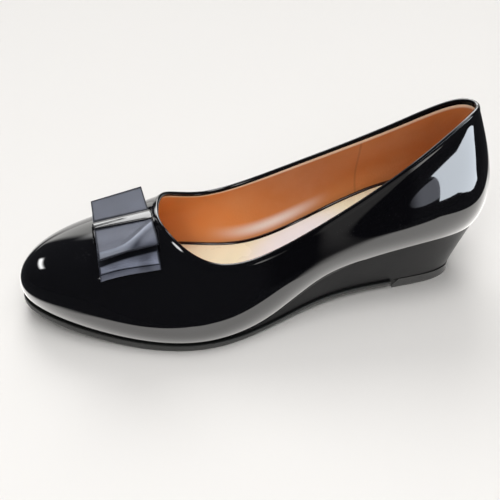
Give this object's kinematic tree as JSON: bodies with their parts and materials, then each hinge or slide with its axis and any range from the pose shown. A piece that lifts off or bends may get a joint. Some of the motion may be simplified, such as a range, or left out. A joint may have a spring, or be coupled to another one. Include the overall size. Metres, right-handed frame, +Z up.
{
  "type": "wedge pump shoe",
  "caption": "Low-cut women's pump for the left foot with a patent upper, a flat ribbon bow on the vamp, a smooth insole and a covered mid-height wedge on a thin sole.",
  "frame": {"origin": "On the floor, under the middle of the shoe's bounding box.", "axes": "+X points to the toe, +Y to the outer side of the left foot, +Z up."},
  "size_m": [0.2436, 0.0924, 0.0951],
  "materials": {
    "patent": "black patent with a mirror gloss",
    "insole": "cream, smooth and glossy",
    "wedge_cover": "black semi-gloss covering",
    "sole_rubber": "black, matt",
    "ribbon": "blue-black satin ribbon"
  },
  "bodies": {
    "root": {"upper": "patent", "insole": "insole", "insole_piping": "patent", "wedge": "wedge_cover", "outsole": "sole_rubber", "heel_tip": "sole_rubber", "bow_under_loop": "ribbon", "bow_top_loop": "ribbon", "bow_band": "patent"}
  },
  "joints": []
}
